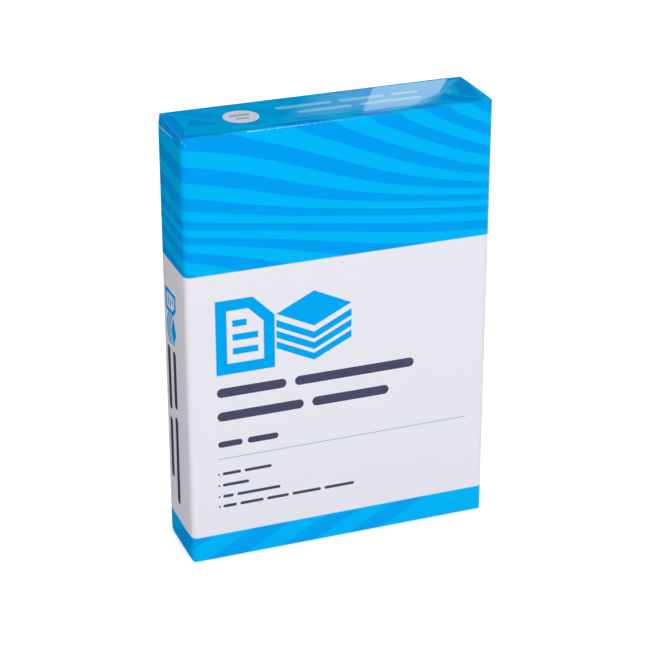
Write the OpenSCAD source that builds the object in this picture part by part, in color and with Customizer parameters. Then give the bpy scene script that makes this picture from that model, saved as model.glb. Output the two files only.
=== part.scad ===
/* [Paper] */
// Width of one sheet
sheet_w = 210; // [148:1:297]
// Length of one sheet, which stands upright here
sheet_l = 297; // [210:1:420]
// Number of sheets in the ream
sheet_count = 500; // [400:10:600]
// Thickness of one sheet
sheet_t = 0.103; // [0.09:0.001:0.125]

/* [Wrapper] */
// Air and film between the stack and the outside, on each long side
wrap_gap = 0.3; // [0.1:0.05:1]
// Rounding of the wrapper along the upright edges
upright_edge_r = 2.6; // [1:0.1:5]
// Rounding of the wrapper round the ends
end_edge_r = 1.3; // [0.8:0.1:3]
// Height that each folded layer adds to an end
layer_t = 0.45; // [0.15:0.05:0.8]

/* [Seam down the back] */
// Width of the glued overlap
seam_w = 22; // [10:1:40]
// Height of the overlap above the back
seam_t = 0.35; // [0.1:0.05:0.6]

/* [Front flap] */
// How far the front flap reaches over an end
front_flap_reach = 36; // [22:1:38]
// Slant of its left side, away from straight back
front_flap_slant_left = 26.5; // [15:0.5:50]
// Slant of its right side, away from straight back
front_flap_slant_right = 44; // [15:0.5:50]

/* [Back flap, glued down last] */
// Strip of the front flap left bare before the back flap's free edge
back_flap_margin = 7; // [3:0.5:12]
// Slant of its left side, away from straight forward
back_flap_slant_left = 44.5; // [20:0.5:50]
// Slant of its right side, away from straight forward
back_flap_slant_right = 34; // [20:0.5:50]
// Inset of its right side at the back edge
back_flap_inset_right = 9; // [0:0.5:15]
// Length of the turned corner at the right of its free edge
turned_corner = 18; // [8:0.5:24]
// Rounding of its free corners
flap_corner_r = 2.5; // [0.5:0.5:4]
// Width of the ear of doubled film beside its right side
ear_w = 8; // [4:0.5:9]
// How far the ear reaches forward from the back edge
ear_reach = 24; // [15:1:28]

/* [Left shoulder of the top] */
// Drop of the tuck's crease below the top, at the front
crease_drop_front = 4; // [2:0.5:8]
// Drop of the tuck's crease below the top, at the back
crease_drop_back = 7; // [4:0.5:12]
// Set-in of the shoulder above the crease, at the back
crease_set_in = 1.8; // [0.5:0.1:3]
// Length that the blunted front left corner takes off each edge
corner_facet = 4.5; // [1:0.5:7]

/* [Print] */
// Height of the coloured band at the foot
foot_band_h = 18; // [8:1:40]
// Height of the coloured band at the head
head_band_h = 92; // [40:1:140]
// Colour of the bands
band_colour = "deepskyblue";
// Colour of the plain panel between the bands
panel_colour = "ghostwhite";

/* [Hidden] */
$fn = 48;

// Layers of film folded over each other: tuck, front flap, back flap
FOLD_LAYERS = 3;
// Overshoot of a cutting or limiting shape past the pack
OVER = 5;

block_w = sheet_w + 2 * wrap_gap;
block_t = sheet_count * sheet_t + 2 * wrap_gap;
pack_l = sheet_l + 2 * FOLD_LAYERS * layer_t;
right_x = block_w / 2;
back_y = (block_t - seam_t) / 2;
front_y = back_y - block_t;

// Moves a point from the front left corner of an end into the pack's frame
function on_end(across, deep) = [across - right_x, front_y + deep];

// Set-in of a slanted side after a given depth
function set_in(slant, depth) = depth * tan(slant);

module rounded_rectangle(w, h, r) {
    square([w - 2 * r, h], center = true);
    square([w, h - 2 * r], center = true);
    for (x = [-1, 1], y = [-1, 1])
        translate([x * (w / 2 - r), y * (h / 2 - r)])
            circle(r);
}

// The wrapped stack, rounded on all its edges, with both ends set in by some film
module block(set_in_layers) {
    l = pack_l - 2 * set_in_layers * layer_t;
    translate([0, (front_y + back_y) / 2, pack_l / 2])
        intersection() {
            linear_extrude(l, center = true)
                rounded_rectangle(block_w, block_t, upright_edge_r);
            rotate([90, 0, 0])
                linear_extrude(block_t, center = true)
                    rounded_rectangle(block_w, l, end_edge_r);
            rotate([90, 0, 90])
                linear_extrude(block_w, center = true)
                    rounded_rectangle(block_t, l, end_edge_r);
        }
}

// One folded layer on both ends: the block where the flap's outline covers it
module flap(layers_above) {
    intersection() {
        block(layers_above);
        translate([0, 0, -OVER])
            linear_extrude(pack_l + 2 * OVER)
                children();
    }
}

// Folded first of the two long flaps, from the front
module front_flap_outline() {
    deep = front_flap_reach;
    near = -OVER;
    polygon([
        on_end(set_in(front_flap_slant_left, near), near),
        on_end(block_w - set_in(front_flap_slant_right, near), near),
        on_end(block_w - set_in(front_flap_slant_right, deep), deep),
        on_end(set_in(front_flap_slant_left, deep), deep)
    ]);
}

// Folded last, from the back, with the right corner of its free edge turned under
module back_flap_outline() {
    far = block_t + OVER;
    reach = block_t - back_flap_margin;
    left_free = set_in(back_flap_slant_left, reach);
    right_back = block_w - back_flap_inset_right;
    right_free = right_back - set_in(back_flap_slant_right, reach);
    turned = turned_corner / sqrt(2);
    offset(r = flap_corner_r)
        offset(delta = -flap_corner_r)
            polygon([
                on_end(-set_in(back_flap_slant_left, OVER), far),
                on_end(left_free, back_flap_margin),
                on_end(right_free - turned, back_flap_margin),
                on_end(right_free + set_in(back_flap_slant_right, turned), back_flap_margin + turned),
                on_end(right_back + set_in(back_flap_slant_right, OVER), far)
            ]);
}

// Doubled film that shows beside the back flap's right side
module ear_outline() {
    right_back = block_w - back_flap_inset_right;
    polygon([
        on_end(right_back, block_t + OVER),
        on_end(right_back + ear_w, block_t + OVER),
        on_end(right_back + ear_w, block_t),
        on_end(right_back - set_in(back_flap_slant_right, ear_reach) + ear_w / 2, block_t - ear_reach),
        on_end(right_back - set_in(back_flap_slant_right, ear_reach), block_t - ear_reach)
    ]);
}

// Glued overlap of the wrapper, pressed flat before it reaches the folds
module seam() {
    flat_l = pack_l - 2 * (FOLD_LAYERS * layer_t + end_edge_r);
    translate([-seam_w / 2, back_y - seam_w / 2, (pack_l - flat_l) / 2])
        cube([seam_w, seam_w / 2 + seam_t, flat_l]);
}

// Space over the shoulder: the plane rises inwards from the crease, which falls towards the back
module over_shoulder() {
    size = 2 * block_t;
    fall = (crease_drop_back - crease_drop_front) / block_t;
    lean = atan(crease_set_in / crease_drop_back);
    turn = asin(fall * tan(lean));
    translate([-right_x, front_y, pack_l - crease_drop_front])
        rotate([0, 0, -turn])
            rotate([0, lean, 0])
                translate([-size, -size / 2, -size / 2])
                    cube([size, 2 * size, size]);
}

// Space over the blunted corner: a plane across the corner, with like cuts along its three edges
module over_corner() {
    size = 2 * block_t;
    steep = atan(sqrt(2));
    translate([-right_x, front_y, pack_l])
        rotate([0, steep, 225])
            translate([-size / 2, -size / 2, -corner_facet / sqrt(3)])
                cube(size);
}

module pack_form() {
    difference() {
        union() {
            block(2);
            flap(1)
                front_flap_outline();
            flap(1)
                ear_outline();
            flap(0)
                back_flap_outline();
            seam();
        }
        over_shoulder();
        over_corner();
    }
}

// The part of the pack between two heights, in the colour printed there
module printed_field(from, to, ink) {
    color(ink)
        intersection() {
            pack_form();
            translate([-block_w, -block_t, from])
                cube([2 * block_w, 2 * block_t, to - from]);
        }
}

module wrapped_ream() {
    panel_top = pack_l - head_band_h;
    printed_field(-OVER, foot_band_h, band_colour);
    printed_field(foot_band_h, panel_top, panel_colour);
    printed_field(panel_top, pack_l + OVER, band_colour);
}

wrapped_ream();
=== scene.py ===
"""Looks of a wrapped ream of office paper: printed film, folded shut over both short ends of the stack."""

import math

import bpy
import numpy as np
from bpy.props import FloatProperty, FloatVectorProperty, PointerProperty
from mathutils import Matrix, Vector


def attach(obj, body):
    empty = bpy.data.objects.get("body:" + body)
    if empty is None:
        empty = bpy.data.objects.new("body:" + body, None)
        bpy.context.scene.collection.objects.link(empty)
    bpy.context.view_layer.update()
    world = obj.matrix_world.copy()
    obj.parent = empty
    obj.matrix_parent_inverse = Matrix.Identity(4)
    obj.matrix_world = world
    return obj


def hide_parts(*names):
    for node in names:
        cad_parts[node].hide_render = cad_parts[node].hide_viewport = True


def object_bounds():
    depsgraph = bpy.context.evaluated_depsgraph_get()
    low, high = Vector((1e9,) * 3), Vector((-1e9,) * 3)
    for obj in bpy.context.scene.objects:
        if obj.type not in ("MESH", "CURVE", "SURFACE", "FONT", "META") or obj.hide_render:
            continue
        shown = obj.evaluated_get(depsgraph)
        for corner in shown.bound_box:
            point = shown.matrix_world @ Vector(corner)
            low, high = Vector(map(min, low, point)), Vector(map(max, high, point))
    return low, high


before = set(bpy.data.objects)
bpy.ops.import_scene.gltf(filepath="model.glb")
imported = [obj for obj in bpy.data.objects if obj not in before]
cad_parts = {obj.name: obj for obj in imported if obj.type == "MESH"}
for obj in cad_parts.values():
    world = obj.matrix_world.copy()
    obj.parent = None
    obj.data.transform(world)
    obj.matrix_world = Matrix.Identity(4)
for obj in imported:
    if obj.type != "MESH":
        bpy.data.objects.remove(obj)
CAD_LOW, CAD_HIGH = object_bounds()

bl_info = {
    "name": "Wrapped ream",
    "version": (1, 0, 0),
    "blender": (4, 5, 0),
    "location": "View3D > Sidebar > Ream",
    "description": "Builds the printed film of a ream of paper round its solid, with its stage",
    "category": "Object",
}

MM = 0.001
MM_PER_M = 1000
NODE = "wrapped_ream"
BODY = "root"
SHEET = "sheet"

LEFT, RIGHT = CAD_LOW.x, CAD_HIGH.x
FRONT = CAD_LOW.y
BOTTOM, TOP = CAD_LOW.z, CAD_HIGH.z
WIDTH = RIGHT - LEFT
HEIGHT = TOP - BOTTOM

# How far the long sides' film runs on over an end before a flap or a tuck takes over
LIP = 3 * MM
# Depth at which the lip's last row passes under the flap, and the sleeve's inner end under its outer one
UNDER = 0.06 * MM
# Distance between grid lines where the film is flat, and the least distance between any two
STEP, CLOSEST = 2.5 * MM, 0.1 * MM
# Distance from an edge inside which the grid lines lie closer, and how many of them there are
EDGE_ZONE, EDGE_LINES = 7 * MM, 17
# Softness of the lines where the left shoulder and the blunted corner start
SHOULDER_SOFT, CORNER_SOFT = 0.22 * MM, 0.3 * MM
# Plane waves in a smooth noise, and the range of their wave numbers round the mean one
WAVE_COUNT, WAVE_RANGE = 14, (0.6, 1.5)
# Keeps a division by a length of nothing from failing
TINY = 1e-12

# Fold weights, from 0 for film pulled flat to 1 for crushed film; the sleeve has more towards the ends
SLEEVE_FOLD, SLEEVE_END_FOLD = 0.4, 0.3
TUCK_FOLD, FRONT_FLAP_FOLD, BACK_FLAP_FOLD, EAR_FOLD = 0.35, 0.08, 0.02, 1.0
# Seed and strength of the creases in each side tuck
TUCKS = {"left": (5, 1.0), "right": (8, 0.4)}
# Wavelength, seed and weight of the two noises that crease the ears, and the most that they add up to
EAR_CREASES, EAR_CREASE_TOP = ((6 * MM, 31, 1.0), (3 * MM, 32, 0.6)), 1.8
# Drop of a flap's rolled edge, in layers
ROLL_DROP = 2.2

# Widths of the print's soft edges in millimetres: one that looks hard, the bands', the signs', and that of
# the worn fold lines with their painted highlight
HARD, BAND_BLUR, SIGN_BLUR, WORN_HIGHLIGHT_BLUR = 0.00012, 0.25, 0.2, 0.3
# Contrast of the stripes on the outer flap and in the foot's band, against that of the head's band
FLAP_CONTRAST, FOOT_CONTRAST = 0.4, 0.75
# Scales of the noises in the film's surface
WAVE_SCALE, GRAIN_SCALE, RIDGE_SCALE, DASH_SCALE, GLOSS_SCALE = 38.0, 420.0, 110.0, 620.0, 60.0
# Heights of its relief
WAVE_HEIGHT, GRAIN_HEIGHT, RIDGE_HEIGHT = 0.25 * MM, 0.02 * MM, 2 * MM
# Fold weights above which film is crushed, and above which its print is broken on the ridges and painted
# paler there as a highlight
CRUSHED_FROM, CRACK_GLINT_FROM = 0.4, 0.75


def to_linear(*levels):
    """Linear colour of display levels from 0 to 255."""
    c = np.array(levels) / 255
    return tuple(np.where(c <= 0.04045, c / 12.92, ((c + 0.055) / 1.055) ** 2.4))


def number(name, description, default, **more):
    """A plain number among the settings."""
    return FloatProperty(name=name, description=description, default=default, **more)


def length(name, description, default_mm):
    """A length, given in millimetres and kept in metres."""
    return number(name, description, default_mm * MM, min=0.0, unit="LENGTH", precision=5)


def angle(name, description, default_degrees):
    """An angle, given in degrees and kept in radians."""
    return number(name, description, math.radians(default_degrees), subtype="ANGLE")


def colour(name, description, *levels):
    """A colour, given in display levels and kept linear."""
    return FloatVectorProperty(
        name=name,
        description=description,
        default=to_linear(*levels),
        size=3,
        min=0.0,
        max=1.0,
        subtype="COLOR",
    )


class WrapperSizes(bpy.types.PropertyGroup):
    """Sizes of the film and its folds"""

    upright_round: length("Upright edges", "Rounding along the upright edges", 4)
    end_round: length("End edges", "Rounding round the two ends", 1.3)
    slump: length("Slack edge", "Added rounding of the front top edge towards its right end", 2.6)
    layer: length("Layer", "Height that each folded layer adds to an end", 0.16)
    seam_width: length("Seam", "Width of the glued overlap down the back", 22)
    seam_height: length("Seam height", "Height of the overlap above the back", 0.35)
    front_reach: length("Front flap", "How far the front flap reaches over an end", 36)
    front_slant_left: angle("Front flap left", "Slant of the front flap's left side", 26.5)
    front_slant_right: angle("Front flap right", "Slant of the front flap's right side", 44)
    back_margin: length("Bare strip", "Strip of the front flap left bare by the back flap", 7)
    back_slant_left: angle("Back flap left", "Slant of the back flap's left side", 44.5)
    back_slant_right: angle("Back flap right", "Slant of the back flap's right side", 34)
    back_inset: length("Back flap inset", "Inset of the back flap's right side at the back edge", 9)
    turned_corner: length("Turned corner", "Length that it takes off the back flap's free edge", 16)
    turned_slant: angle("Turned corner's slant", "Slant of the turned corner, from straight back", 59)
    corner_round: length("Flap corners", "Rounding of the back flap's free corners", 2.5)
    ear_width: length("Ear", "Width of the doubled film beside the back flap", 8)
    ear_reach: length("Ear reach", "How far the ear reaches forward", 24)
    crease_front: length("Crease, front", "Drop of the left crease below the top at the front", 4)
    crease_back: length("Crease, back", "Drop of the left crease below the top at the back", 7)
    crease_set_in: length("Shoulder", "Set-in of the shoulder above the crease at the back", 1.8)
    facet: length("Blunted corner", "Length that the blunted corner takes off each edge", 4.5)
    belly: length("Belly", "How far the narrow sides curve in at the upright edges", 0.55)
    belly_reach: length("Belly reach", "Distance from the upright edges over which they do", 14)
    ripple: length("Ripple", "Depth of the slack film's waves on the long sides", 0.12)
    crumple: length("Crumple", "Depth of the fine creases on the folded ends", 0.16)


class PrintSettings(bpy.types.PropertyGroup):
    """Colours and places of the print"""

    band_light: colour("Band, light", "Lighter tone of the coloured bands", 0, 182, 246)
    band_dark: colour("Band, dark", "Darker tone of the coloured bands", 0, 158, 239)
    panel: colour("Panel", "Plain panel between the bands", 233, 232, 239)
    ink: colour("Ink", "Dark grey bars", 74, 74, 99)
    mark: colour("Mark", "Large marks in the bands' colour", 0, 166, 240)
    rule: colour("Rule", "Thin line across the panel", 150, 178, 212)
    pale: colour("Pale ink", "Disc on the outer flap", 236, 238, 249)
    flap_bar: colour("Flap bars", "Bars on the outer flap", 132, 210, 250)
    disc_ink: colour("Disc's bars", "Bars on the outer flap's disc", 178, 184, 204)
    # Pale cyan of broken print on the folds, which also serves as a painted highlight along the fold edges
    # and on the ear's creases; the share below is how much of it the deepest ones take
    crack_and_highlight: colour("Cracks", "Tone where folds crack the print", 185, 245, 255)
    crack_and_highlight_share: number("Wear", "Share of that tone in the deepest cracks", 0.8, min=0.0, max=1.0, subtype="FACTOR")
    head_band: length("Head band", "Height of the upper band, from the top", 93)
    foot_band: length("Foot band", "Height of the lower band, from the bottom", 18.6)


class StageSettings(bpy.types.PropertyGroup):
    """Camera, lamps and floor"""

    lens: number("Lens", "Focal length in millimetres", 119.58, unit="CAMERA")
    eye: FloatVectorProperty(
        name="Camera place",
        description="Place of the camera",
        default=(-0.47105, -1.24630, 0.76062),
        subtype="TRANSLATION",
    )
    yaw: number("Yaw", "Turn of the camera to the right of straight back", 0.3642, subtype="ANGLE")
    pitch: number("Pitch", "Tilt of the camera upwards", -0.4352, subtype="ANGLE")
    sky: number("Sky", "Light from all round", 0.5)
    front_power: number("Front lamp", "Power of the large lamp in front", 25.5, unit="POWER")
    side_power: number("Side lamp", "Power of the lamp on the left", 6.6, unit="POWER")
    top_power: number("Top lamp", "Power of the lamp overhead", 6.0, unit="POWER")
    back_power: number("Back lamp", "Power of the lamp that lights the back", 12.0, unit="POWER")
    floor_lift: number("Floor lift", "Glow that the camera sees on the floor", 0.55)
    glare: number("Glare", "Brightness of the card mirrored in the outer flap", 2.8)
    haze: number("Haze", "Brightness of the dim card beside it", 0.7)
    edge: number("Edge", "Brightness of the card mirrored in the front edge", 50.0)
    floor: number("Floor", "Side of the floor", 14.0, unit="LENGTH")


def back_plane():
    """The back's level beside the overlap."""
    return CAD_HIGH.y - bpy.context.scene.ream_sizes.seam_height


def pack_depth():
    """Depth of the pack beside the overlap."""
    return back_plane() - FRONT


def graded(low, high, fine_at, step=STEP):
    """Grid lines from low to high: even where the film is flat, and closer by a square law towards each named
    place."""
    even = np.linspace(low, high, max(2, round((high - low) / step)) + 1)
    near = EDGE_ZONE * np.linspace(-1, 1, EDGE_LINES)
    near = np.sign(near) * near**2 / EDGE_ZONE
    lines = np.concatenate([even] + [place + near for place in fine_at])
    lines = np.unique(np.round(lines[(lines >= low) & (lines <= high)], 7))
    apart = np.concatenate([[True], np.diff(lines) > CLOSEST])
    apart[-1] = True
    return lines[apart]


def waves(points, wavelength, seed):
    """Smooth noise of about -1 to 1: the sum of plane waves in seeded directions, near one wavelength."""
    dice = np.random.default_rng(seed)
    way = dice.normal(size=(3, WAVE_COUNT))
    way *= 2 * math.pi / wavelength * dice.uniform(*WAVE_RANGE, WAVE_COUNT) / np.linalg.norm(way, axis=0)
    start = dice.uniform(0, 2 * math.pi, WAVE_COUNT)
    return np.sin(points @ way + start).sum(-1) / math.sqrt(WAVE_COUNT)


def ease(x):
    """Smooth step from 0 at x = 0 to 1 at x = 1."""
    x = np.clip(x, 0, 1)
    return x * x * (3 - 2 * x)


def normals(points):
    """Unit normals of a grid: the cross product of its two directions."""
    across = np.gradient(points, axis=1)
    along = np.gradient(points, axis=0)
    n = np.cross(across, along)
    return n / np.maximum(np.linalg.norm(n, axis=-1, keepdims=True), TINY)


def rolled(points, first, second, radius):
    """Points by the sharp edge of two faces, drawn back on to a quarter circle of the radius.
    A face is its axis, its place on that axis and the sign of the way inwards."""
    (i, at_i, in_i), (j, at_j, in_j) = first, second
    short_i = np.maximum(radius - (points[..., i] - at_i) * in_i, 0)
    short_j = np.maximum(radius - (points[..., j] - at_j) * in_j, 0)
    far = np.hypot(short_i, short_j)
    back = np.where(far > radius, 1 - radius / np.maximum(far, TINY), 0)
    points[..., i] += in_i * short_i * back
    points[..., j] += in_j * short_j * back


def pressed(points, through, soft):
    """Points beyond the plane through three others, brought back on to it, with a rounded line where it
    starts."""
    a, b, c = (np.array(p) for p in through)
    n = np.cross(b - a, c - a)
    n /= np.linalg.norm(n)
    if n[0] > 0:
        n = -n
    beyond = (points - a) @ n
    points -= (soft * np.logaddexp(0, beyond / soft))[..., None] * n


def formed(points, low, high):
    """The sharp box's points turned into the pack's: round upright edges, round ends, left shoulder, blunted
    corner and narrow sides that curve in towards the edges. low and high are the ends' levels at each
    point."""
    size = bpy.context.scene.ream_sizes
    back = back_plane()
    left, right = (0, LEFT, 1), (0, RIGHT, -1)
    front, rear = (1, FRONT, 1), (1, back, -1)
    foot, head = (2, low, 1), (2, high, -1)
    # The front's top edge slackens from 28% to 91% of the width
    slack = ease((points[..., 0] - LEFT) / WIDTH * 1.6 - 0.45)
    for side in (left, right):
        for face in (front, rear):
            rolled(points, side, face, size.upright_round)
    rolled(points, front, head, size.end_round + size.slump * slack)
    for face in (left, right, rear):
        rolled(points, face, head, size.end_round)
    for face in (left, right, front, rear):
        rolled(points, face, foot, size.end_round)
    shoulder = (
        (LEFT, FRONT, TOP - size.crease_front),
        (LEFT, back, TOP - size.crease_back),
        (LEFT + size.crease_set_in, back, TOP),
    )
    corner = (
        (LEFT + size.facet, FRONT, TOP),
        (LEFT, FRONT + size.facet, TOP),
        (LEFT, FRONT, TOP - size.facet),
    )
    pressed(points, shoulder, SHOULDER_SOFT)
    pressed(points, corner, CORNER_SOFT)
    to_edge = np.minimum(points[..., 1] - FRONT, back - points[..., 1])
    near = np.clip(1 - to_edge / size.belly_reach, 0, 1) ** 2
    points[..., 0] *= 1 - near * size.belly / (WIDTH / 2)
    return points


def on_sheet(u, v, fold):
    """The flat sheet's coordinates of a grid of points, with their fold weight third."""
    return np.stack(np.broadcast_arrays(u, v, fold), -1)


def film(name, points, sheet, material):
    """A piece of film from a grid of points, which carry the print's own coordinates as an attribute."""
    rows, columns = points.shape[:2]
    index = np.arange(rows * columns).reshape(rows, columns)
    quads = np.stack([index[:-1, :-1], index[:-1, 1:], index[1:, 1:], index[1:, :-1]], -1)
    mesh = bpy.data.meshes.new(name)
    mesh.from_pydata(points.reshape(-1, 3), [], quads.reshape(-1, 4))
    laid = mesh.attributes.new(SHEET, "FLOAT_VECTOR", "POINT")
    laid.data.foreach_set("vector", sheet.astype(np.float32).ravel())
    mesh.shade_smooth()
    mesh.materials.append(material)
    piece = bpy.data.objects.new(name, mesh)
    bpy.context.scene.collection.objects.link(piece)
    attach(piece, BODY)
    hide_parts(NODE)


def both_ends(name, points, sheet, head_material=None):
    """The same fold at the head and, mirrored in the pack's middle height, at the foot. The foot's rows are
    turned round, so that it faces outwards too."""
    plain = film_material("printed_film")
    film(f"{name}_head", points, sheet, head_material or plain)
    lower = points[::-1].copy()
    lower[..., 2] = TOP + BOTTOM - lower[..., 2]
    film(f"{name}_foot", lower, sheet[::-1] * (1, -1, 1) + (0, HEIGHT, 0), plain)


class Value:
    """A shader socket that can stand in a sum."""

    def __init__(self, shader, socket):
        self.shader = shader
        self.socket = socket

    def __add__(self, other):
        return self.shader.math("ADD", self, other)

    def __radd__(self, other):
        return self.shader.math("ADD", other, self)

    def __sub__(self, other):
        return self.shader.math("SUBTRACT", self, other)

    def __rsub__(self, other):
        return self.shader.math("SUBTRACT", other, self)

    def __mul__(self, other):
        return self.shader.math("MULTIPLY", self, other)

    def __rmul__(self, other):
        return self.shader.math("MULTIPLY", other, self)

    def __truediv__(self, other):
        return self.shader.math("DIVIDE", self, other)

    def __rtruediv__(self, other):
        return self.shader.math("DIVIDE", other, self)

    def __pow__(self, other):
        return self.shader.math("POWER", self, other)

    def __rpow__(self, other):
        return self.shader.math("POWER", other, self)

    def __abs__(self):
        return self.shader.math("ABSOLUTE", self)

    def __neg__(self):
        return self.shader.math("MULTIPLY", self, -1)


class Shader:
    """The node tree of one material or world."""

    def __init__(self, owner):
        owner.use_nodes = True
        self.tree = owner.node_tree
        self.tree.nodes.clear()

    def node(self, kind, settings=None, **sockets):
        """A node of this type, with its settings made first and then its sockets' values or links.
        A socket is named by its label with _ for spaces, or by its number after an n."""
        node = self.tree.nodes.new(kind)
        for key, value in (settings or {}).items():
            setattr(node, key, value)
        for key, value in sockets.items():
            numbered = key[0] == "n" and key[1:].isdigit()
            socket = node.inputs[int(key[1:]) if numbered else key.replace("_", " ")]
            if isinstance(value, Value):
                self.tree.links.new(value.socket, socket)
            else:
                socket.default_value = value
        return node

    def out(self, node, socket=0):
        """One of a node's outputs, by its number or label."""
        return Value(self, node.outputs[socket])

    def math(self, operation, *values, clamp=False):
        """Result of one operation on values or links."""
        places = {f"n{i}": value for i, value in enumerate(values)}
        return self.out(self.node("ShaderNodeMath", {"operation": operation, "use_clamp": clamp}, **places))

    def mix(self, factor, first, second):
        """Colour between two others."""
        first, second = (c if isinstance(c, Value) else (*c, 1) for c in (first, second))
        mixed = self.node("ShaderNodeMix", {"data_type": "RGBA"}, n0=factor, n6=first, n7=second)
        return self.out(mixed, 2)

    def noise(self, vector, scale, detail):
        """Smooth noise between 0 and 1."""
        return self.out(self.node("ShaderNodeTexNoise", Vector=vector, Scale=scale, Detail=detail))

    def inside(self, distance, blur=HARD):
        """1 where a signed distance is below zero and 0 above, with an edge as wide as the blur."""
        return self.math("MULTIPLY_ADD", distance, -1 / blur, 0.5, clamp=True)

    def either(self, *masks):
        """The highest of these masks."""
        joined = masks[0]
        for mask in masks[1:]:
            joined = self.math("MAXIMUM", joined, mask)
        return joined

    def bar(self, across, up, start, end, middle, height):
        """A bar with round ends: all points nearer than half its height to its middle line."""
        half = height / 2
        past = self.math("MAXIMUM", abs(across - (start + end) / 2) - ((end - start) / 2 - half), 0)
        off = up - middle
        return self.inside(self.math("SQRT", past * past + off * off) - half)

    def strip(self, across, up, start, end, middle, height, blur=HARD):
        """A bar with square ends."""
        along = abs(across - (start + end) / 2) - (end - start) / 2
        return self.inside(self.math("MAXIMUM", along, abs(up - middle) - height / 2), blur)

    def seen(self):
        """1 on the rays that show or mirror a thing to the camera, 0 on those that light others by it."""
        path = self.node("ShaderNodeLightPath")
        rays = ("Is Camera Ray", "Is Glossy Ray", "Is Transmission Ray")
        return self.either(*(self.out(path, ray) for ray in rays))


# Word-like bars on the front: (start, end, middle line, height), in millimetres from its left edge and foot
FRONT_BARS = (
    (19.0, 67.0, 122.8, 6.6),
    (73.0, 157.5, 122.8, 6.6),
    (19.0, 79.0, 105.6, 6.6),
    (85.0, 139.5, 105.6, 6.6),
    (19.0, 36.0, 85.4, 4.4),
    (39.5, 61.0, 85.4, 4.4),
)
# The thin line under them, as a bar with square ends
RULE = (19.0, 197.0, 74.8, 0.56)
# Rows of the list: their middle lines, the start and end of each bar, and the dot before each row
LIST_ROWS = (63.6, 55.2, 46.8, 39.4)
LIST_WORDS = (
    ((21.6, 34.5), (37.0, 56.0)),
    ((21.6, 40.0),),
    ((21.6, 29.0), (31.5, 62.0)),
    ((21.6, 31.0), (33.5, 50.0), (52.5, 68.0), (70.5, 91.0), (93.5, 115.0)),
)
LIST_DOT = (18.4, 19.8)
LIST_BAR_HEIGHT, LIST_DOT_HEIGHT = 2.2, 1.4
# Bars down the left side: (upper end, lower end, middle line from the front edge, height)
SIDE_BARS = (
    (144.0, 102.0, 28.0, 6.0),
    (96.0, 31.0, 28.0, 6.0),
    (144.0, 97.0, 40.0, 6.0),
    (91.0, 46.0, 40.0, 6.0),
)
# The front signs' lower left corner and scale
FRONT_SIGNS = (19.0, 135.5, 1.09)
# The side signs, which read downwards: their upper end, far edge and how much smaller they are each way
SIDE_SIGNS = (185.5, -44.5, 2.24, 2.08)
# Bars on the outer flap, from the left edge and from the front edge
FLAP_BARS = (
    (73.0, 111.0, 33.1, 4.6),
    (116.0, 147.0, 33.1, 4.6),
    (152.0, 171.0, 33.1, 4.6),
    (84.0, 121.0, 22.1, 4.6),
    (126.0, 169.0, 22.1, 4.6),
)
# Its disc: middle and radius, and the bars on it
DISC = (48.0, 26.5, 11.6)
DISC_BARS = ((41.0, 55.0, 29.5, 3.4), (43.5, 52.5, 23.2, 2.6))


def two_tone(shader, phase):
    """1 in the darker half of each period of the phase, with an edge as steep as a steep sine's."""
    steepness = 9.0
    wave = shader.math("SINE", phase * (2 * math.pi))
    return shader.math("MULTIPLY_ADD", wave, -steepness, 0.5, clamp=True)


def on_front(shader, u):
    """Place across the front's stripes, which the back repeats and the narrow sides run on from."""
    width = WIDTH / MM
    half_round = width + pack_depth() / MM
    from_back = shader.math("FLOORED_MODULO", u - half_round, 2 * half_round)
    return u + shader.math("LESS_THAN", from_back, width) * (from_back - u)


def stripe_count(shader, u, y):
    """Stripes passed on the way down the upper band, which y crosses from 0 to 1. The lines fall to the
    right, lie closest at a third of the band's height and closer still towards its right end. On the narrow
    sides they run on nearly level."""
    side_slope = 0.3
    at_left_foot, per_width, per_height, twist = 9.75, 8.3, 8.8, 6.25
    crowd, crowd_at, crowd_width = 1.7, 0.295, 0.16
    right_crowd, right_crowd_at = 10.2, 0.35
    across = u / (WIDTH / MM)
    within = shader.math("MINIMUM", shader.math("MAXIMUM", across, 0), 1)
    x = within + side_slope * (across - within)
    right = shader.math("MAXIMUM", x, 0)
    falling = at_left_foot - per_width * x - per_height * y + twist * x * y
    closer = crowd * shader.math("TANH", (y - crowd_at) / crowd_width)
    closer = closer + right_crowd * right * right * (y - right_crowd_at)
    return falling - closer


def foot_periods(shader, u, v):
    """Periods passed along the lower band's leaning stripes, up to a broad light field on the right."""
    lean, first, rate, growth, last = 1.9, 0.36, 0.0178, 0.000016, 3.25
    along = u - lean * v
    return shader.math("MINIMUM", first + rate * along + growth * along * along, last)


def bands(shader, u, v, head_contrast):
    """Colour of the two bands, and 1 where they lie. Their stripes are the level lines of smooth functions of
    the flat sheet's coordinates."""
    ink = bpy.context.scene.ream_print
    head_band = ink.head_band / MM
    panel_top = HEIGHT / MM - head_band
    y = (v - panel_top) / head_band
    # Near the edge and over it the stripes widen
    edge_zone, widening = 0.93, 0.35
    y = y - widening * shader.math("MAXIMUM", y - edge_zone, 0)
    across = on_front(shader, u)
    head = shader.inside(panel_top - v, BAND_BLUR)
    foot = shader.inside(v - ink.foot_band / MM, BAND_BLUR)
    head_tone = two_tone(shader, stripe_count(shader, across, y) / 2)
    foot_tone = two_tone(shader, foot_periods(shader, across, v))
    head_tone, foot_tone = head_tone * head * head_contrast, foot_tone * foot * FOOT_CONTRAST
    tone = shader.math("ADD", head_tone, foot_tone, clamp=True)
    return shader.mix(tone, ink.band_light, ink.band_dark), shader.either(head, foot)


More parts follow.
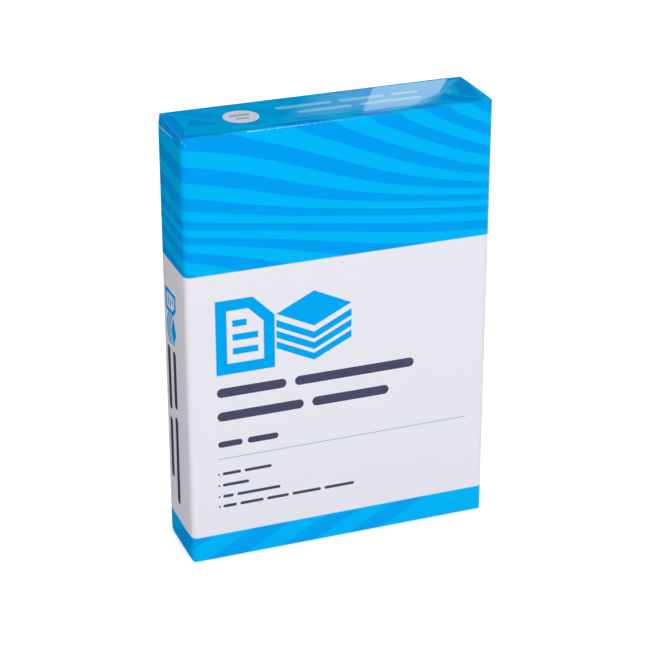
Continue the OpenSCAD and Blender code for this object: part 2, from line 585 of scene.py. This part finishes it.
def sheet_signs(shader, across, up):
    """Two plain signs, 86 wide and 48 high: a page with a turned corner, as an outline with three lines on
    it, and a pile of sheets seen from a corner, as a rhombus with three bands below it."""
    half_wide, half_tall, cut, stroke = 15.0, 20.5, 24.0, 7.0
    page_lines = ((10.5, 26.5, 14.5, 4.2), (10.5, 26.5, 23.5, 4.2), (10.5, 19.5, 32.5, 4.2))
    x, y = across - 18.5, up - 24.0
    page = shader.math("MAXIMUM", abs(x) - half_wide, abs(y) - half_tall)
    page = shader.math("MAXIMUM", page, (x + y - cut) / math.sqrt(2))
    outline = shader.inside(abs(page) - stroke / 2, SIGN_BLUR)
    lines = shader.either(*(shader.strip(across, up, *line, SIGN_BLUR) for line in page_lines))

    half_pile, half_sheet, half_band, falls = 24.0, 11.5, 2.3, (6.2, 13.2, 20.2)
    x, y = abs(across - 62.0), up - 34.5
    top_sheet = shader.inside((x / half_pile + abs(y) / half_sheet - 1) * 10.0, SIGN_BLUR)
    edge = y + half_sheet * (1 - x / half_pile)
    below = shader.either(*(shader.inside(abs(edge + fall) - half_band, SIGN_BLUR) for fall in falls))
    return shader.either(outline, lines, top_sheet, below * shader.inside(x - half_pile, SIGN_BLUR))


def printed_panel(shader, u, v, base):
    """The base colour with the panel's print on it: bars for words, signs and a rule."""
    ink = bpy.context.scene.ream_print
    bars = [shader.bar(u, v, *row) for row in FRONT_BARS]
    for row, words in zip(LIST_ROWS, LIST_WORDS):
        bars.append(shader.bar(u, v, *LIST_DOT, row, LIST_DOT_HEIGHT))
        bars += [shader.bar(u, v, *word, row, LIST_BAR_HEIGHT) for word in words]
    for upper, lower, middle, thick in SIDE_BARS:
        bars.append(shader.bar(-v, -u, -upper, -lower, middle, thick))
    base = shader.mix(shader.either(*bars), base, ink.ink)
    left, low, scale = FRONT_SIGNS
    top, far, smaller_down, smaller_across = SIDE_SIGNS
    signs = shader.either(
        sheet_signs(shader, (u - left) / scale, (v - low) / scale),
        sheet_signs(shader, (top - v) * smaller_down, (u - far) * smaller_across),
    )
    base = shader.mix(signs, base, ink.mark)
    return shader.mix(shader.strip(u, v, *RULE), base, ink.rule)


def printed_flap(shader, place, base):
    """The base colour with the outer flap's print on it: bars for words, and a pale disc with two bars."""
    ink = bpy.context.scene.ream_print
    spot = shader.node("ShaderNodeSeparateXYZ", Vector=place)
    across = (shader.out(spot, 0) - LEFT) * MM_PER_M
    deep = (shader.out(spot, 1) - FRONT) * MM_PER_M
    rows = shader.either(*(shader.bar(across, deep, *row) for row in FLAP_BARS))
    base = shader.mix(rows, base, ink.flap_bar)
    middle, far, radius = DISC
    reach = shader.math("SQRT", (across - middle) ** 2 + (deep - far) ** 2)
    base = shader.mix(shader.inside(reach - radius), base, ink.pale)
    lines = shader.either(*(shader.bar(across, deep, *row) for row in DISC_BARS))
    return shader.mix(lines, base, ink.disc_ink)


def worn_and_highlit_lines(shader, u, v, place):
    """How far the print is broken off along the front's top edge, the left shoulder's crease and the corner
    between them, painted paler there as a highlight of these folds: thin lines, broken into dashes by a fine
    noise."""
    size = bpy.context.scene.ream_sizes
    below = HEIGHT / MM - v
    along_side = u / (pack_depth() / MM)
    crease = (size.crease_front + (size.crease_front - size.crease_back) * along_side) / MM

    def line(start, end, off, half):
        along = abs(u - (start + end) / 2) - (end - start) / 2
        return shader.inside(shader.math("MAXIMUM", along, abs(off) - half), WORN_HIGHLIGHT_BLUR)

    # The edge's line of worn print and painted highlight thins out and fades to the right
    edge = line(43.0, 185.0, below - 0.4, 0.58 - 0.0018 * u) * (1.2 - u / 320.0)
    shoulder = line(-52.0, -17.0, below - crease, 0.4)
    corner = line(-1.5, 2.5, below - 3.0 - 0.7 * u, 0.35) * 0.6
    dash_steepness, dash_start = 6.0, -2.2
    noise = shader.noise(place, DASH_SCALE, 1.0)
    dashes = shader.math("MULTIPLY_ADD", noise, dash_steepness, dash_start, clamp=True)
    return shader.either(edge, shoulder, corner) * dashes


def printed_film(name, outer_flap=False):
    """Glossy printed film, laid out on the flat sheet's coordinates. Its relief is long shallow waves, a fine
    grain and, where the fold weight is high, sharp ridges whose print is broken and painted paler as a
    highlight; the worn fold lines get the same painted highlight."""
    ink = bpy.context.scene.ream_print
    material = bpy.data.materials.new(name)
    shader = Shader(material)
    sheet = shader.out(shader.node("ShaderNodeAttribute", {"attribute_name": SHEET}), "Vector")
    parts = shader.node("ShaderNodeSeparateXYZ", Vector=sheet)
    # The print's lengths are in millimetres, the relief's in metres
    u, v = shader.out(parts, 0) * MM_PER_M, shader.out(parts, 1) * MM_PER_M
    fold = shader.out(parts, 2)
    place = shader.out(shader.node("ShaderNodeTexCoord"), "Object")

    band, banded = bands(shader, u, v, FLAP_CONTRAST if outer_flap else 1.0)
    base = printed_panel(shader, u, v, shader.mix(banded, ink.panel, band))
    if outer_flap:
        base = printed_flap(shader, place, base)
    # On the ridges of the most crushed film the print is painted paler: broken print and a painted highlight
    # of the creases
    crack_steepness = 45.0
    ridges = abs(shader.noise(place, RIDGE_SCALE, 2.0) - 0.5)
    crack_glints = shader.math("MULTIPLY_ADD", ridges, -crack_steepness, 1.0, clamp=True)
    crack_glints = crack_glints * shader.math("MAXIMUM", fold - CRACK_GLINT_FROM, 0)
    cracked_and_highlit = shader.either(worn_and_highlit_lines(shader, u, v, place), crack_glints)
    base = shader.mix(cracked_and_highlit * ink.crack_and_highlight_share, base, ink.crack_and_highlight)

    long_waves = shader.noise(place, WAVE_SCALE, 1.0) * WAVE_HEIGHT
    grain = shader.noise(place, GRAIN_SCALE, 2.0) * GRAIN_HEIGHT
    crushed = shader.math("MAXIMUM", fold - CRUSHED_FROM, 0)
    relief = fold * (long_waves + grain) + crushed * ridges * RIDGE_HEIGHT
    bump = shader.node("ShaderNodeBump", Strength=1.0, Distance=1.0, Height=relief)
    smooth, duller_by_fold, mottle = 0.01, 0.22, 0.015
    surface = shader.node(
        "ShaderNodeBsdfPrincipled",
        Base_Color=base,
        Roughness=smooth + duller_by_fold * fold + mottle * shader.noise(place, GLOSS_SCALE, 3.0),
        Normal=shader.out(bump),
        IOR=1.5,
        Specular_IOR_Level=0.1,
        Specular_Tint=(0.05, 0.5, 1.0, 1.0),
    )
    shader.node("ShaderNodeOutputMaterial", Surface=shader.out(surface))
    return material


def film_material(name, **kind):
    """The film of this name, made when it is first asked for."""
    return bpy.data.materials.get(name) or printed_film(name, **kind)


def end_layers(u):
    """Folded layers that lie under the film's level at an end, by the place along the unfolded sheet: two
    fewer on the sides than on the back, one fewer on the front, and eased round the upright edges."""
    size = bpy.context.scene.ream_sizes
    depth = pack_depth()
    side, front, back = 0.0, 1.0, 2.0
    soft = 2.4 * MM
    ear = WIDTH + depth + size.back_inset
    steps = (
        (-depth, back, side),
        (0, side, front),
        (WIDTH, front, side),
        (WIDTH + depth, side, front),
        (ear, front, back),
    )
    layers = np.full_like(u, back)
    for place, before, after in steps:
        layers += (after - before) * ease((u - place) / soft + 0.5)
    return layers


def on_box(u, v):
    """Place on the sharp box of the flat sheet's point: u round the pack from the front's left edge, v up the
    pack. Past an end, v runs inwards over it, and the outline shrinks evenly with it."""
    depth = pack_depth()
    past = np.maximum(np.maximum(v - HEIGHT, -v), 0)
    corners = [-depth - WIDTH, -depth, 0, WIDTH, WIDTH + depth, 2 * WIDTH + depth]
    x = np.interp(u, corners, [1, 0, 0, 1, 1, 0])
    y = np.interp(u, corners[1:-1], [1, 0, 0, 1])
    x = LEFT + past + x * (WIDTH - 2 * past)
    y = FRONT + past + y * (depth - 2 * past)
    return x, y, past


class REAM_OT_film_tube(bpy.types.Operator):
    """The film round the four long sides: a sharp sleeve with rolled edges, and its overlap down the back"""

    bl_idname = "ream.film_tube"
    bl_label = "Sleeve of film"

    def execute(self, context):
        size = context.scene.ream_sizes
        depth = pack_depth()
        start = -depth - WIDTH / 2 - size.seam_width / 2
        end = WIDTH + depth + WIDTH / 2 + size.seam_width / 2
        corners = (-depth, 0, WIDTH, WIDTH + depth)
        u = graded(start, end, corners + (end, end - size.seam_width))
        v = graded(-LIP, HEIGHT + LIP, (0, HEIGHT))
        u, v = np.meshgrid(u, v)
        x, y, past = on_box(u, v)
        folded_over = (2 - end_layers(u)) * size.layer
        low, high = BOTTOM + folded_over, TOP - folded_over
        z = low + np.clip(v / HEIGHT, 0, 1) * (high - low)
        last_rows = 0.8 * MM
        tucked = UNDER * ease((past - LIP + last_rows) / last_rows)
        z += np.where(v < HEIGHT / 2, tucked, -tucked)
        points = formed(np.stack([x, y, z], -1), low, high)

        # The outer end rises over the overlap, with a sharp edge, a soft step down beside it and level ends
        edge_step, side_step, end_gap, end_step = 0.3 * MM, 3 * MM, 1.5 * MM, 4 * MM
        over = end - u
        lap = ease(over / edge_step) * (1 - ease((over - size.seam_width) / side_step))
        ends = np.minimum(points[..., 2] - BOTTOM, TOP - points[..., 2])
        lap = lap * ease((ends - end_gap) / end_step)
        below = 1 - ease((u - start - size.seam_width) / side_step)

        # Slack film waves inwards, but not by the edges
        wavelength, along_pack, seed = 75 * MM, (1, 1, 0.6), 3
        calm_corner, calm_end = 9 * MM, 10 * MM
        away = np.minimum.reduce([np.abs(u - c) for c in corners])
        calm = ease(away / calm_corner) * ease(ends / calm_end)
        ripple = 0.5 + 0.5 * waves(points * along_pack, wavelength, seed)
        sunk = calm * np.clip(ripple, 0, 1) * size.ripple + below * UNDER
        points += normals(points) * (lap * size.seam_height - sunk)[..., None]

        fold_zone = 14 * MM
        fold = SLEEVE_FOLD + SLEEVE_END_FOLD * ease(1 - ends / fold_zone)
        sheet = on_sheet(u, np.where(past > 0, v, points[..., 2]), fold)
        film("film_tube", points, sheet, film_material("printed_film"))
        return {"FINISHED"}


def side_tuck(side):
    """The film of a narrow side, folded in first: a flat patch from the lip inwards, under both flaps, with
    creases where a smooth noise changes sign."""
    size = bpy.context.scene.ream_sizes
    depth = pack_depth()
    seed, strength = TUCKS[side]
    past_middle, crease_start, wavelength, highest = 2 * MM, 3 * MM, 11 * MM, 1.2
    inwards = graded(LIP, depth / 2 + past_middle, (), 1.2 * MM)
    deep = graded(LIP, depth - LIP, (), 1.0 * MM)
    inwards, deep = np.meshgrid(inwards, deep)
    x = LEFT + inwards if side == "left" else RIGHT - inwards
    level = TOP - 2 * size.layer
    points = np.stack([x, FRONT + deep, np.full_like(x, level)], -1)
    if side == "right":
        points, inwards, deep = points[:, ::-1], inwards[:, ::-1], deep[:, ::-1]
    points = formed(points, BOTTOM + 2 * size.layer, level)
    inner = ease((inwards - LIP) / crease_start)
    ridge = np.abs(waves(points, wavelength, seed))
    points[..., 2] -= size.crumple * inner * np.clip(ridge, 0, highest) * strength
    around = -deep if side == "left" else WIDTH + deep
    return points, on_sheet(around, HEIGHT + inwards, TUCK_FOLD)


class REAM_OT_side_tucks(bpy.types.Operator):
    """The narrow sides' film, tucked in first at both ends, with the creases of its fold"""

    bl_idname = "ream.side_tucks"
    bl_label = "Side tucks"

    def execute(self, context):
        for side in TUCKS:
            both_ends(f"{side}_tuck", *side_tuck(side))
        return {"FINISHED"}


def flap_surface(left_of, right_of, deep, level, roll):
    """A flat flap between two slanted sides. left_of and right_of give the sides' places from the left edge
    at each depth. At both sides and at the free edge, the last row, it rolls down over the width roll by a
    quarter ellipse, and ends just under whichever layer lies below."""
    drop = ROLL_DROP * bpy.context.scene.ream_sizes.layer
    # Closer lines near both sides, as shares of a flap that is at least this share of the pack's width
    side_lines, side_zone, least_width = 9, 1.1 * MM, 0.6
    share = graded(0, 1, (), 1.6 * MM / WIDTH)
    near = (np.linspace(0, 1, side_lines) ** 1.5) * side_zone / (WIDTH * least_width)
    share = np.unique(np.concatenate([share, near, 1 - near]))
    deep = deep[:, None]
    left = left_of(deep)
    span = right_of(deep) - left
    across = left + share * span
    edge = np.minimum(share * span, (1 - share) * span)
    edge = np.minimum(edge, np.abs(deep - deep[-1]))
    short = np.clip(1 - edge / roll, 0, 1)
    z = level - drop * (1 - np.sqrt(1 - short**2))
    return np.stack(np.broadcast_arrays(LEFT + across, FRONT + deep, z), -1), across


class REAM_OT_front_flaps(bpy.types.Operator):
    """The front film, folded over each end on to the tucks: a trapezium with two slanted sides"""

    bl_idname = "ream.front_flaps"
    bl_label = "Front flaps"

    def execute(self, context):
        size = context.scene.ream_sizes
        slant_left, slant_right = math.tan(size.front_slant_left), math.tan(size.front_slant_right)
        deep = graded(LIP, size.front_reach, (size.front_reach,), 1.3 * MM)
        level = TOP - size.layer
        points, across = flap_surface(
            lambda d: d * slant_left, lambda d: WIDTH - d * slant_right, deep, level, 0.7 * MM
        )
        points = formed(points, BOTTOM + size.layer, level)
        both_ends("front_flap", points, on_sheet(across, HEIGHT + points[..., 1] - FRONT, FRONT_FLAP_FOLD))
        return {"FINISHED"}


def from_back(left_of, right_of, nearest, layers_above, step, fold):
    """A flap that comes from the back edge and reaches forward to the nearest depth: its points and its place
    on the flat sheet."""
    size = bpy.context.scene.ream_sizes
    depth = pack_depth()
    under = layers_above * size.layer
    deep = graded(nearest, depth - LIP, (nearest,), step)[::-1]
    points, across = flap_surface(left_of, right_of, deep, TOP - under, 0.6 * MM)
    points, across = formed(points[::-1], BOTTOM + under, TOP - under), across[::-1]
    sheet = on_sheet(2 * WIDTH + depth - across, HEIGHT + depth - (points[..., 1] - FRONT), fold)
    return points, sheet


class REAM_OT_back_flaps(bpy.types.Operator):
    """The back film, folded over last and glued: slanted sides, a turned corner and an ear of doubled film"""

    bl_idname = "ream.back_flaps"
    bl_label = "Back flaps"

    def execute(self, context):
        size = context.scene.ream_sizes
        depth = pack_depth()
        slant_left, slant_right = math.tan(size.back_slant_left), math.tan(size.back_slant_right)
        turned_slant = math.tan(size.turned_slant)
        margin = size.back_margin
        free_right = WIDTH - size.back_inset - (depth - margin) * slant_right
        left_rounding, right_rounding, soft = 0.6, 0.4, 1.2 * MM

        def round_off(d):
            short = np.clip(1 - (d - margin) / size.corner_round, 0, 1)
            return size.corner_round * (1 - np.sqrt(1 - short**2))

        def left_of(d):
            return (depth - d) * slant_left + round_off(d) * left_rounding

        def right_of(d):
            straight = WIDTH - size.back_inset - (depth - d) * slant_right
            cut = free_right - size.turned_corner + (d - margin) * turned_slant
            return -soft * np.logaddexp(-straight / soft, -cut / soft) - round_off(d) * right_rounding

        points, sheet = from_back(left_of, right_of, margin, 0, 1.3 * MM, BACK_FLAP_FOLD)
        both_ends("back_flap", points, sheet, film_material("printed_outer_flap", outer_flap=True))

        hidden = 0.4 * MM

        def ear_left(d):
            return WIDTH - size.back_inset - (depth - d) * slant_right - hidden

        def ear_right(d):
            share = 0.5 + 0.5 * (1 - (depth - d) / size.ear_reach)
            return ear_left(d) + hidden + size.ear_width * share

        points, sheet = from_back(ear_left, ear_right, depth - size.ear_reach, 1, 0.9 * MM, EAR_FOLD)
        crushed = sum(weight * np.abs(waves(points, along, seed)) for along, seed, weight in EAR_CREASES)
        points[..., 2] -= size.crumple * np.clip(crushed, 0, EAR_CREASE_TOP)
        both_ends("ear", points, sheet)
        return {"FINISHED"}


def lamp(name, place, aim, width, height, power, tint=(1.0, 1.0, 1.0)):
    """A rectangular lamp that faces a point."""
    light = bpy.data.lights.new(name, "AREA")
    light.shape = "RECTANGLE"
    light.size, light.size_y = width, height
    light.energy = power
    light.color = tint
    holder = bpy.data.objects.new(name, light)
    holder.location = place
    holder.rotation_euler = (Vector(aim) - Vector(place)).to_track_quat("-Z", "Y").to_euler()
    holder.visible_camera = False
    bpy.context.scene.collection.objects.link(holder)
    return holder


def flat_piece(name, corners, material):
    """A flat piece of the stage between these corners."""
    mesh = bpy.data.meshes.new(name)
    mesh.from_pydata(corners, [], [range(len(corners))])
    mesh.materials.append(material)
    piece = bpy.data.objects.new(name, mesh)
    bpy.context.scene.collection.objects.link(piece)
    return piece


def card(name, corners, glow=0.0, fade=None):
    """A flat card that only reflections see, as white and black ones are set round a glossy thing. fade gives
    where its glow starts, on the level of the first corner, and the width over which it grows. The start
    leans to the right on the way down."""
    material = bpy.data.materials.new(name)
    shader = Shader(material)
    if fade:
        start, width = fade
        lean = 1.22
        place = shader.out(shader.node("ShaderNodeTexCoord"), "Object")
        parts = shader.node("ShaderNodeSeparateXYZ", Vector=place)
        x, z = shader.out(parts, 0), shader.out(parts, 2)
        past = x - (corners[0][2] - z) * lean - start
        glow = shader.math("MULTIPLY", past, 1 / width, clamp=True) * glow
    light = shader.node("ShaderNodeEmission", Color=(1.0, 0.87, 0.64, 1.0), Strength=glow)
    shader.node("ShaderNodeOutputMaterial", Surface=shader.out(light))
    piece = flat_piece(name, corners, material)
    piece.visible_camera = piece.visible_diffuse = piece.visible_shadow = False
    piece.visible_transmission = piece.visible_volume_scatter = False


def upright(depth, *places):
    """Corners at one depth behind the pack, from their places across and up."""
    return [(x, depth, z) for x, z in places]


def lying(level, left, right, near, far):
    """Corners of a level rectangle."""
    return [(left, near, level), (right, near, level), (right, far, level), (left, far, level)]


def set_camera(stage):
    """The camera, upright in its place."""
    scene = bpy.context.scene
    camera = bpy.data.cameras.new("camera")
    camera.lens = stage.lens
    camera.clip_end = 100.0
    holder = bpy.data.objects.new("camera", camera)
    holder.location = stage.eye
    holder.rotation_euler = (math.pi / 2 + stage.pitch, 0, -stage.yaw)
    scene.collection.objects.link(holder)
    scene.camera = holder


def hang_lamps(stage):
    """Four soft lamps. The one that lights the back isn't mirrored in the film."""
    pack, cool, rosy = (0, 0, TOP / 2), (0.9, 0.94, 1.0), (1.0, 0.92, 0.98)
    lamp("front_lamp", (0.25, -2.2, 0.95), pack, 1.6, 1.2, stage.front_power)
    lamp("side_lamp", (-1.5, -0.6, 0.1), (0, 0, 0.1), 1.0, 0.8, stage.side_power, rosy)
    lamp("top_lamp", (0.1, 0.4, 2.2), (0.1, 0.4, 0), 1.0, 1.0, stage.top_power, cool)
    back_lamp = lamp("back_lamp", (0.3, 2.2, 1.3), pack, 1.2, 1.2, stage.back_power)
    back_lamp.visible_glossy = False


def set_cards(stage):
    """White cards for the outer flap and the front's top edge, and black ones for the rest of the film."""
    glare = (
        (0.502, 0.757),
        (0.520, 0.718),
        (0.619, 0.718),
        (0.618, 0.725),
        (0.609, 0.745),
        (0.572, 0.757),
    )
    haze = ((0.380, 0.754), (0.430, 0.718), (0.520, 0.718), (0.5035, 0.754))
    card("glare_card", upright(1.2, *glare), stage.glare)
    card("haze_card", upright(1.2, *haze), stage.haze, fade=(0.39, 0.06))
    card("edge_card", lying(1.8, 0.44, 0.83, -1.0, -0.83), stage.edge)
    card("back_flag", upright(1.5, (-0.2, 0.6), (1.1, 0.6), (1.1, 1.2), (-0.2, 1.2)))
    card("low_flag", upright(1.5, (-1.4, 0.02), (0.6, 0.02), (0.6, 0.62), (-1.4, 0.62)))
    card("floor_flag", lying(0.5 * MM, -1.4, LEFT - 0.5 * MM, -0.8, 2.2))


def light_sky(stage):
    """A soft sky that is white where it is seen, and dimmer as a light."""
    world = bpy.data.worlds.new("sky")
    shader = Shader(world)
    glow = shader.node("ShaderNodeBackground", Strength=stage.sky + (1 - stage.sky) * shader.seen())
    shader.node("ShaderNodeOutputWorld", Surface=shader.out(glow))
    bpy.context.scene.world = world


def lay_floor(stage):
    """A matt floor that glows a little where it is seen. It lies just below the pack, so that their faces
    don't share one plane."""
    half, level = stage.floor / 2, BOTTOM - 0.05 * MM
    material = bpy.data.materials.new("floor")
    shader = Shader(material)
    matt = shader.node(
        "ShaderNodeBsdfPrincipled",
        Base_Color=(0.9, 0.9, 0.9, 1),
        Roughness=0.9,
        Specular_IOR_Level=0.0,
        Emission_Color=(1, 1, 1, 1),
        Emission_Strength=shader.seen() * stage.floor_lift,
    )
    shader.node("ShaderNodeOutputMaterial", Surface=shader.out(matt))
    floor = flat_piece("floor", lying(level, -half, half, -half, half), material)


class REAM_OT_stage(bpy.types.Operator):
    """Camera, lamps, sky and a pale floor"""

    bl_idname = "ream.stage"
    bl_label = "Stage"

    def execute(self, context):
        for part in (set_camera, hang_lamps, set_cards, light_sky, lay_floor):
            part(context.scene.ream_stage)
        context.scene.view_settings.view_transform = "Standard"
        return {"FINISHED"}


class REAM_PT_panel(bpy.types.Panel):
    """The ream's pieces in the 3D view's sidebar"""

    bl_idname = "REAM_PT_panel"
    bl_label = "Wrapped ream"
    bl_space_type = "VIEW_3D"
    bl_region_type = "UI"
    bl_category = "Ream"

    def draw(self, context):
        for operator in OPERATORS:
            self.layout.operator(operator.bl_idname)
        for group in GROUPS:
            settings = getattr(context.scene, group)
            box = self.layout.box()
            for name in settings.__annotations__:
                box.prop(settings, name)


OPERATORS = (
    REAM_OT_stage,
    REAM_OT_film_tube,
    REAM_OT_side_tucks,
    REAM_OT_front_flaps,
    REAM_OT_back_flaps,
)
GROUPS = {"ream_sizes": WrapperSizes, "ream_print": PrintSettings, "ream_stage": StageSettings}


def register():
    for group, kind in GROUPS.items():
        bpy.utils.register_class(kind)
        setattr(bpy.types.Scene, group, PointerProperty(type=kind))
    for kind in (*OPERATORS, REAM_PT_panel):
        bpy.utils.register_class(kind)


def unregister():
    for kind in (REAM_PT_panel, *reversed(OPERATORS)):
        bpy.utils.unregister_class(kind)
    for group, kind in GROUPS.items():
        delattr(bpy.types.Scene, group)
        bpy.utils.unregister_class(kind)


def main():
    register()
    for operator in OPERATORS:
        family, name = operator.bl_idname.split(".")
        getattr(getattr(bpy.ops, family), name)()


if __name__ == "__main__":
    main()
